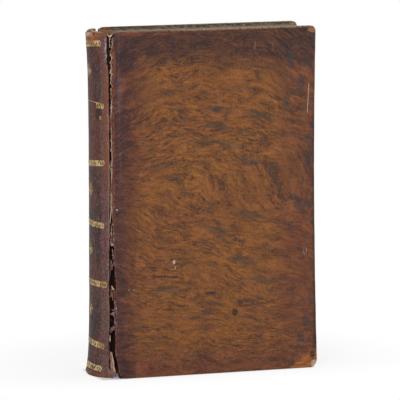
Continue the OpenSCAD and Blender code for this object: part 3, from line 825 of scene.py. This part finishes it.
def add_strip(bm, x0, x1, y0, y1, columns):
    """A thin flat strip of leaf."""
    made = bmesh.ops.create_grid(bm, x_segments=columns, y_segments=1, size=0.5)["verts"]
    bmesh.ops.scale(bm, verts=made, vec=(x1 - x0, y1 - y0, 1))
    bmesh.ops.translate(bm, verts=made, vec=((x0 + x1) / 2, (y0 + y1) / 2, 0))


def add_circle(bm, x, y, wide, high, segments, point=0.0, filled=True):
    """A flat round of leaf, with its upper and lower ends drawn out by point. Returns its points."""
    made = bmesh.ops.create_circle(bm, segments=segments, radius=1, cap_ends=filled)["verts"]
    for v in made:
        pinch = 1 - point * v.co.y ** 2
        v.co = (x + v.co.x * pinch * wide / 2, y + v.co.y * high / 2, 0)
    return made


def add_ring(bm, x, y, wide, high, line_w, segments, point=0.0):
    """A flat ring of leaf with a line of a given width."""
    rims = []
    for shrink in (0, 2 * line_w):
        made = add_circle(bm, x, y, wide - shrink, high - shrink, segments, point, filled=False)
        rims += list({e for v in made for e in v.link_edges})
    bmesh.ops.bridge_loops(bm, edges=rims)


def lay_gold(name, bm, finish, z_middle, replaces=(), **place):
    """Turns all of a flat shape upwards, gives it the thickness of leaf and lays it round the back."""
    face_outwards(bm)
    for face in bm.faces:
        if face.normal.z < 0:
            face.normal_flip()
    thicken(bm, -LEAF_T)
    wrap(bm, z_middle, **place)
    piece(name, bm, finish, "text", replaces)


# For each roll: how far it slants, as a rise of its rear end for each length round the back, how far it ends
# from the back's front edge in millimetres, and how many of its links are left at most, counted from there
ROLLS = ((-0.08, 4.9, 99), (0.04, 3.3, 3), (-0.09, 3, 99), (0.05, 3.4, 99), (0.02, 1.4, 99),
         (0.13, 3.3, 99), (0.09, 5, 99))


def gilt_roll(number, finish):
    """A roll: a chain of links between two fine fillets, with a drop where two links meet."""
    low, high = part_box(f"gilt_roll_{number}")
    tilt, start, kept = ROLLS[number - 1]
    tall = high.z - low.z
    x0, x1 = FRONT_EDGE_ANGLE * SPINE_R + start * MM, (REAR_EDGE_ANGLE - radians(4)) * SPINE_R
    count = round((x1 - x0) / LINK_W)
    kept = min(kept, count)
    pitch = (x1 - x0) / count
    bm = bmesh.new()
    for side in (-1, 1):
        edge = side * (tall - FILLET) / 2
        end = x1 if side > 0 else x0 + kept * pitch
        add_strip(bm, x0 + pitch * 0.2, end - pitch / 2, edge - FILLET / 2, edge + FILLET / 2, 40)
    for i in range(kept):
        x = x0 + (i + 0.5) * pitch
        add_ring(bm, x, 0, pitch * 1.02, tall - 1.6 * FILLET, LINK_LINE_W, 16)
        for side in (-1, 1):
            add_circle(bm, x + pitch / 2, side * tall * 0.33, 0.7 * MM, 0.7 * MM, 8, 0.4)
    lay_gold(f"gold_roll_{number}", bm, finish, (low.z + high.z) / 2, [f"gilt_roll_{number}"], tilt=tilt)


def gilt_device(number, finish):
    """A small ornament: a drawn-out ring with a drop in it, and buds at its four sides."""
    low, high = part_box(f"gilt_device_{number}")
    wide, tall = high.y - low.y, high.z - low.z
    bm = bmesh.new()
    add_ring(bm, 0, 0, wide * 0.74, tall * 0.82, LINE_W, 20, 0.72)
    add_circle(bm, 0, 0, wide * 0.26, tall * 0.42, 12, 0.7)
    for side in (-1, 1):
        add_circle(bm, 0, side * tall * 0.46, wide * 0.16, tall * 0.12, 10, 0.6)
        add_circle(bm, side * wide * 0.43, 0, wide * 0.14, tall * 0.12, 10, 0.3)
    lay_gold(f"gold_device_{number}", bm, finish, (low.z + high.z) / 2, [f"gilt_device_{number}"])


def label_remnant(finish, gold):
    """What is left of the title label, ragged on all sides, with one dot of its gilding."""
    low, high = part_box("label_remnant")
    middle_angle = FRONT_EDGE_ANGLE + radians(11)
    bm = unit_grid(14, 18)
    for point in bm.verts:
        x, y = point.co.x, point.co.y
        edge = max(abs(x - 0.5), abs(y - 0.5)) * 2
        pull = 1 - 0.16 * edge ** 4 * (1 + ripple(41, 1.8, x * 8 * MM, y * 8 * MM))
        point.co = ((0.5 + (x - 0.5) * pull) * LABEL_W, ((y - 0.5) * pull) * (high.z - low.z), 0)
    thicken(bm, -LABEL_T)
    wrap(bm, (low.z + high.z) / 2, a_middle=middle_angle)
    piece("label_scrap", bm, finish, "text", ["label_remnant"])
    dot = bmesh.new()
    add_ring(dot, LABEL_W * 0.22, 0, 2 * MM, 2.4 * MM, LINE_W, 12)
    lay_gold("label_gold", dot, gold, low.z + 1.4 * MM, lift=LABEL_T + LEAF_T, a_middle=middle_angle)


def endband(side, finish):
    """Silk wound round a core: a tube along the back with a groove between each two windings."""
    low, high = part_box(f"{side}_endband")
    z, reach = (low.z + high.z) / 2, JOINT_ANGLE - radians(8)
    centre_r, windings, sides = BLOCK_R - ENDBAND_D / 2, 84, 10
    bm = unit_grid(4 * windings, sides)
    for point in bm.verts:
        a = between(reach, -reach, point.co.x)
        turn = 2 * pi * point.co.y
        thick = ENDBAND_D / 2 * (0.9 + 0.1 * abs(sin(pi * windings * point.co.x)))
        r = centre_r + thick * cos(turn)
        point.co = (SPINE_X - r * cos(a), MIDDLE_Y + r * sin(a), z + thick * sin(turn))
    bmesh.ops.remove_doubles(bm, verts=bm.verts, dist=1e-7)
    bmesh.ops.holes_fill(bm, edges=[e for e in bm.edges if e.is_boundary], sides=0)
    face_outwards(bm)
    piece(f"{side}_silk", bm, finish, "text", [f"{side}_endband"], sharp=70)


def text_block(finish):
    """The leaves: rounded and backed at the spine, hollow at the fore-edge, with sawn grooves."""
    columns, folded = 40, 5
    half = BLOCK_HIGH.y - MIDDLE_Y - SHOULDER
    hollow_r = (half ** 2 + FORE_EDGE_HOLLOW ** 2) / (2 * FORE_EDGE_HOLLOW)
    bm = unit_grid(columns, LEAVES)
    leaf = bm.verts.layers.float.new("leaf")
    spine_side = bm.verts.layers.float.new("spine_side")
    for point in bm.verts:
        s, t = point.co.x, point.co.y
        row = round(t * LEAVES)
        point[leaf] = row
        point[spine_side] = s < 1e-6
        y = between(-half, half, t)
        fanned = y * (half + SHOULDER) / half
        back_x = SPINE_X - sqrt(BLOCK_R ** 2 - fanned ** 2)
        front_x = BLOCK_HIGH.x - FORE_EDGE_HOLLOW + hollow_r - sqrt(hollow_r ** 2 - y ** 2)
        front_x += (0.1 * (row % 2) + 0.18 * ripple(51, 4, row * MM) - 0.2) * MM
        step = s * columns / folded
        x = between(back_x, FOLD_X, step) if step < 1 else between(
            FOLD_X, front_x, (s * columns - folded) / (columns - folded))
        fan = clamp((FOLD_X - x) / FOLD_W)
        point.co = (x, MIDDLE_Y + between(y, fanned, fan), 0)

    # Each level is a height and how deep the back is sawn in there
    levels = [(BLOCK_LOW.z, 0)]
    for i in range(1, 6):
        z = sum(c.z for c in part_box(f"sewing_cord_{i}")) / 2
        low, high = z - GROOVE_H / 2, z + GROOVE_H / 2
        levels += [(low, 0), (low, GROOVE_DEPTH), (high, GROOVE_DEPTH), (high, 0)]
    levels.append((BLOCK_HIGH.z, 0))
    top = bm.faces[:]
    bmesh.ops.translate(bm, verts=bm.verts, vec=(0, 0, BLOCK_LOW.z))
    for number, (z, depth) in enumerate(levels[1:]):
        made = bmesh.ops.extrude_face_region(bm, geom=top, use_keep_orig=True)["geom"]
        if number:
            bmesh.ops.delete(bm, geom=top, context="FACES")
        top = [g for g in made if isinstance(g, bmesh.types.BMFace)]
        for point in {v for f in top for v in f.verts}:
            if point[spine_side]:
                inward = Vector((SPINE_X - point.co.x, MIDDLE_Y - point.co.y, 0))
                point.co += inward * (1 - (BLOCK_R - depth) / inward.length)
            point.co.z = z
    for point in bm.verts:
        row = round(point[leaf])
        uneven = (0.1 * (row % 2) + 0.22 * ripple(52, 6, row * MM) - 0.15) * MM
        if point.co.z > BLOCK_HIGH.z - MM:
            point.co.z += uneven
        elif point.co.z < BLOCK_LOW.z + MM:
            point.co.z -= uneven
    face_outwards(bm)
    piece("leaves", bm, finish, "text", ["text_block"], sharp=25)


def torn_sliver(finish):
    """A shred of the joint leather that still stands at the foot of the cracked joint."""
    low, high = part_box("torn_joint_leather")
    bm = unit_grid(8, 34)
    for point in bm.verts:
        s, t = point.co.x, point.co.y
        z = between(low.z, high.z, t)
        wide = (2.5 * (1 - 0.72 * t ** 1.5) + 0.4 * ripple(61, 2.4, 0, 0, z)) * MM
        lean = (0.6 * (1 - t) + 0.4 * ripple(62, 6, 0, 0, z)) * MM
        x = low.x + 0.8 * MM + wide * s + lean
        y = low.y + 0.2 * MM + 1.3 * MM * (1 - s) + 0.4 * MM * ripple(63, 4, x, 0, z)
        point.co = (x, y, z)
    thicken(bm, 0.5 * MM)
    piece("torn_sliver", bm, finish, "text", ["torn_joint_leather"])


def rear_joint(finish):
    """The leather over the rear joint, which bends from the back to the rear board."""
    bm = unit_grid(12, 200)
    beyond_rubbing = 72 * MM
    lay_map(bm, lambda p: (beyond_rubbing + p.x * 4 * MM, p.y * BOOK_H))
    edge_y, middle_z = LEATHER_HIGH.y, 0.1
    foot, head = 1.5 * MM, BOOK_H - 3.2 * MM
    for point in bm.verts:
        s, z = point.co.x, between(FLOOR_GAP, BOOK_H, point.co.y)
        start = on_back(REAR_EDGE_ANGLE - 0.01, -0.03 * MM, worn_height(REAR_EDGE_ANGLE, z))
        end_z = min(max(z, foot), head)
        end = Vector((JOINT_X + 0.3 * MM + whole_joint_edge(end_z), edge_y - 0.02 * MM, end_z))
        sag = 0.55 * MM * sin(pi * s)
        point.co = start.lerp(end, s) + Vector((0.4 * sag, -sag, 0))
    face_outwards(bm)
    thicken(bm, 0.5 * MM)
    strip = piece("rear_joint_calf", bm, finish, None)
    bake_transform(strip)


# How far the torn fibres stand past the front leather's joint edge: height, and width in millimetres
FRINGE_W = ((0, 0.1), (18, 0.3), (108, 0.4), (118, 1.0), (130, 1.0), (150, 1.4), (190, 1.7), (203, 1.9),
            (207, 0.7), (215, 0.5))


def torn_fringe(finish):
    """Fibres of the torn leather along the front cover's joint edge, standing in towards the joint."""
    bm = unit_grid(4, 420)
    top = BOOK_H - FRONT_JOINT_CORNER_R

    def height(p):
        return between(1.5 * MM, top, p.y)

    def paleness(p):
        spread = 0.5 * ripple(74, 6, height(p)) + 0.3 * ripple(75, 1.5, height(p))
        return p.x ** 2 * eased(height(p), 70 * MM, 95 * MM) + spread

    lay_map(bm, lambda p: (0, paleness(p) * MM))
    for point in bm.verts:
        s, v = point.co.x, height(point.co)
        ragged = 0.75 + 0.5 * ripple(71, 3, v) + 0.6 * ripple(72, 0.9, v)
        wide = curve_through(FRINGE_W, v / MM) * max(0.15, ragged) * MM
        inner = torn_joint_edge(v) + 0.35 * MM
        deep = 0.25 * MM + (0.5 * s + 0.3 * s * ripple(73, 2, v, s * MM)) * MM
        point.co = FRONT_PLACE @ Vector((inner - s * (wide + 0.35 * MM), deep, v))
    face_outwards(bm)
    thicken(bm, 0.3 * MM)
    piece("torn_fringe", bm, finish, "front_cover")


# About how wide the cracked joint is, in millimetres
JOINT_W = 3.4

# What hangs in it. Each shred has three points, each a share of the way from the back's torn edge to the
# cover's and a height in millimetres, then its width and how pale it is
BACK_SHREDS = [
    (0.35, 118, 0.5, 111, 0.45, 104, 1.5, 0.8), (0.5, 109, 0.4, 103, 0.1, 97, 1.3, 0.95),
    (0.1, 128, 0.5, 119, 0.3, 108, 1.5, 0.4), (0.6, 124, 0.5, 116, 0.8, 109, 1.2, 0.5),
    (0.4, 168, 0.2, 160, 0.5, 150, 0.8, 0.45), (0.6, 97, 0.2, 91, 0.4, 83, 1.3, 0.7),
    (0.3, 96, 0.45, 90, 0.7, 85, 1.0, 0.45), (0.2, 86, 0.55, 82.5, 0.95, 84, 1.9, 0.75),
    (0.5, 81, 0.8, 78, 0.6, 74.5, 0.9, 0.6), (0.42, 16.5, 0.45, 10, 0.52, 4.5, 0.8, 0.9),
    (0.2, 134.5, 0.05, 131, 0.3, 128.5, 1.1, 0.7), (0.3, 136, 0.5, 133, 0.35, 129, 0.7, 0.5),
    (0.15, 73.5, 0.2, 69, 0.15, 64.5, 0.5, 0.25), (0.35, 58, 0.45, 57, 0.65, 55.5, 0.9, 1.2),
    (0.05, 55, 0.5, 56.5, 1.1, 53, 1.5, 0.2), (0.1, 51.0, 0.5, 54, 1.1, 55.5, 1.4, 0.3),
    (0.2, 53.5, 0.6, 51, 1.0, 51, 1.3, 0.15), (0.3, 57.5, 0.3, 54, 0.5, 49, 1.2, 0.4),
    (0.75, 50, 0.9, 46.5, 0.7, 43, 0.9, 0.4), (0.1, 30, 0.5, 31.5, 1.2, 35, 1.8, 0.25),
    (0.2, 28.5, 0.5, 32.5, 0.9, 30.5, 1.3, 0.4), (0.9, 39, 0.65, 36.5, 0.95, 34, 1.1, 0.25),
    (0.15, 27, 0.1, 25, 0.2, 23, 0.7, 1.1), (0.1, 40.2, 0.5, 40.4, 0.95, 42.5, 2.2, 0.5),
    (-0.2, 16.5, 0.3, 14, -0.1, 10.5, 0.7, 0.25), (-0.1, 13, -0.4, 11, 0.2, 7.5, 0.6, 0.15),
    (0.1, 20, -0.1, 17, 0.15, 13, 0.5, 0.2), (0.05, 213.8, 0.5, 211.2, 1.0, 214.0, 1.4, 1.1),
    (0.5, 211.5, 0.4, 209, 0.55, 205.5, 0.9, 0.75), (0.2, 74.5, 0.55, 71.5, 0.35, 68, 1.6, 0.3),
    (0.4, 41, 0.85, 39, 0.85, 36, 1.3, 0.25), (0.2, 43.5, 0.6, 42, 0.9, 44.5, 0.9, 0.35)]
COVER_SHREDS = [
    (0.55, 109, 0.75, 103, 1.1, 98, 1.1, 0.95), (0.8, 97, 0.9, 92.5, 0.9, 87.5, 0.8, 0.75),
    (0.8, 77, 1.0, 74, 0.7, 71, 1.1, 0.5), (0.6, 129.5, 0.7, 126, 0.55, 122.5, 0.7, 0.8),
    (0.6, 150.5, 0.7, 147, 0.6, 144, 0.8, 0.7), (0.65, 143, 0.75, 140, 0.7, 137, 0.6, 0.95),
    (0.9, 56, 0.7, 53, 0.95, 49.5, 0.9, 0.35), (0.9, 47.5, 1.05, 44, 0.95, 40, 0.8, 0.5),
    (1.2, 37, 1.0, 34, 1.1, 29, 0.6, 0.4)]


def in_joint(share, z, lift):
    """A point in the cracked joint: share 0 at the back's torn edge and 1 at the front cover's."""
    back = on_back(torn_back_edge(z), -0.3 * MM, z)
    cover = FRONT_PLACE @ Vector((torn_joint_edge(z), 0.5 * MM, z))
    cover.z = z
    return back.lerp(cover, share) + Vector((-0.3, -1, 0)).normalized() * lift


def joint_shreds(name, shreds, finish, body):
    """Shreds of leather, cord and paper, each a ragged ribbon that bends through three points."""
    whole = bmesh.new()
    for number, (*route, width, paleness) in enumerate(shreds):
        start, middle, end = route[:2], route[2:4], route[4:]
        run = Vector((end[0] - start[0], (end[1] - start[1]) / JOINT_W)).normalized()
        bm = unit_grid(3, 18)
        lay_map(bm, lambda p: (0, (paleness + 0.5 * ripple(number, 2, p.y * 8 * MM)) * MM))
        for point in bm.verts:
            side, t = point.co.x - 0.5, point.co.y
            at = [(1 - t) ** 2 * a + 2 * t * (1 - t) * b + t * t * c for a, b, c in zip(start, middle, end)]
            ragged = 0.7 + 0.7 * ripple(80 + number, 1.7, t * 7 * MM, side * MM)
            wide = width * ragged * sin(pi * between(0.08, 0.92, t)) ** 0.6
            across = Vector((run.y, -run.x)) * side * wide
            curl = 0.35 * MM * sin(pi * t)
            curl += 0.25 * MM * ripple(90 + number, 2, t * 6 * MM, side * MM)
            point.co = in_joint(at[0] + across.x / JOINT_W, (at[1] + across.y) * MM, curl)
        thicken(bm, 0.25 * MM)
        part = bpy.data.meshes.new("shred")
        bm.to_mesh(part)
        bm.free()
        whole.from_mesh(part)
        bpy.data.meshes.remove(part)
    piece(name, whole, finish, body)


def refinish(finish, *nodes):
    """Gives carried-over nodes their finish."""
    for name in nodes:
        for slot in frame["nodes"][name].material_slots:
            slot.material = finish


def aimed(place, away):
    """The place of a camera or lamp whose back is turned away."""
    return Matrix.Translation(place) @ away.to_track_quat("Z", "Y").to_matrix().to_4x4()


def camera():
    """The photograph's view: a long lens from the front left, a little above the book."""
    azimuth, elevation, distance = radians(19.64), radians(7.72), 2.60053
    target = Vector((2.03, 2.405, 106.18)) * MM
    back = Vector((-sin(azimuth) * cos(elevation), -cos(azimuth) * cos(elevation), sin(elevation)))
    data = bpy.data.cameras.new("camera")
    data.lens, data.sensor_width, data.clip_end = 374.72, 36, 20
    view = add_object("camera", data)
    view.matrix_world = aimed(target + back * distance, back)
    bpy.context.scene.camera = view


def lamp(name, place, size, power):
    """A soft square lamp that looks at the middle of the book."""
    data = bpy.data.lights.new(name, "AREA")
    data.size, data.energy = size, power
    add_object(name, data).matrix_world = aimed(place, Vector(place) - Vector((0, 0, BOOK_H / 2)))


def seen_white(shading, kind, lit, lit_share=0.0):
    """Plain white to the camera, reflections and glass, but for a share of lit, and lit for other rays."""
    ray = shading.node("ShaderNodeLightPath", {}, (), "Is Camera Ray")
    seen = ray.larger(ray.output("Is Glossy Ray")).larger(ray.output("Is Transmission Ray"))
    white = shading.node(kind, {}, {"Color": WHITE, "Strength": 1.0})
    return shading.node("ShaderNodeMixShader", {}, (seen * (1 - lit_share), lit, white))


def studio():
    """A pale floor that fades to white, a white surround and three soft lamps."""
    bm = bmesh.new()
    bmesh.ops.create_grid(bm, x_segments=1, y_segments=1, size=6)
    mesh = bpy.data.meshes.new("floor")
    bm.to_mesh(mesh)
    bm.free()
    add_object("floor", mesh)
    material = bpy.data.materials.new("pale_floor")
    mesh.materials.append(material)
    card = Shading(material)
    card.tree.nodes.remove(card.tree.nodes["Principled BSDF"])
    at = card.node("ShaderNodeTexCoord", {}, (), "Object")
    away = card.node("ShaderNodeVectorMath", {"operation": "LENGTH"}, (at,), "Value")
    x = card.node("ShaderNodeSeparateXYZ", {}, (at,))
    y = x.output("Y")

    # How much of the real light on the floor is seen: some beside the book, and most of it under the book
    beside = 0.22 * away.rise(0.18, 0.08) * y.rise(-0.06, 0.01)
    under = 0.9 * x.size().rise(0.073, 0.068) * y.size().rise(0.023, 0.019)
    lit = card.node("ShaderNodeBsdfDiffuse", {}, {"Color": PALE})
    card.show(seen_white(card, "ShaderNodeEmission", lit, beside.larger(under)), "Material Output")
    surround = bpy.data.worlds.new("surround")
    bpy.context.scene.world = surround
    glow = Shading(surround)
    lit = glow.node("ShaderNodeBackground", {}, {"Color": WHITE, "Strength": 0.35})
    glow.show(seen_white(glow, "ShaderNodeBackground", lit), "World Output")
    for name, place, size, power in LAMPS:
        lamp(name, place, size, power)


camera()
studio()

front_calf = stained_calf("stained_calf_front", lambda y, v: y + LEATHER_HIGH.y / MM - tan(LEAN) * v,
                          FRONT_MARKS, FRONT_SCRATCHES, worn_corner=True)
rear_calf = stained_calf("stained_calf_rear", lambda y, v: LEATHER_HIGH.y / MM - y)
back_leather = back_calf()
gold = gold_leaf()
fibres = torn_fibres()
flesh = raw_leather("flesh_side", "#84483f", "#d2ab98")
label_skin = raw_leather("label_skin", "#3b2d2c", "#523e39")
end_paper = paper("end_paper", "#cbb98f", "#a48a5e")
# The spine lining is dark with glue, and darker still as painted shade in the cracked joint
lining_glue_and_shade = paper("lining_glue_and_shade", "#44291f", "#2b1914", 6)

cover_leather("front", front_calf, FRONT_PLACE, torn_joint_edge, FRONT_JOINT_CORNER_R, 1)
cover_leather("rear", rear_calf, REAR_PLACE, whole_joint_edge, REAR_JOINT_CORNER_R, 4)
spine_leather(back_leather)
for number in range(1, 8):
    gilt_roll(number, gold)
for number in range(1, 5):
    gilt_device(number, gold)
label_remnant(label_skin, gold)
silk = thread("silk", "#7b6a4c", "#c6b68c", 0.5)
endband("head", silk)
endband("tail", silk)
text_block(leaf_edges())
torn_sliver(flesh)
torn_fringe(fibres)
joint_shreds("shreds_on_back", BACK_SHREDS, fibres, "text")
joint_shreds("shreds_on_cover", COVER_SHREDS, fibres, "front_cover")
rear_joint(back_leather)

refinish(end_paper, "front_free_endpaper", "rear_free_endpaper", "front_pastedown", "rear_pastedown")
refinish(lining_glue_and_shade, "spine_lining")
refinish(millboard(), "front_board", "rear_board")
hemp = thread("hemp", "#7d6a48", "#b8a478", 0.7)
refinish(hemp, "front_cord_slips", "rear_cord_slips", *[f"sewing_cord_{i}" for i in range(1, 6)])

bpy.context.scene.view_settings.view_transform = "Standard"
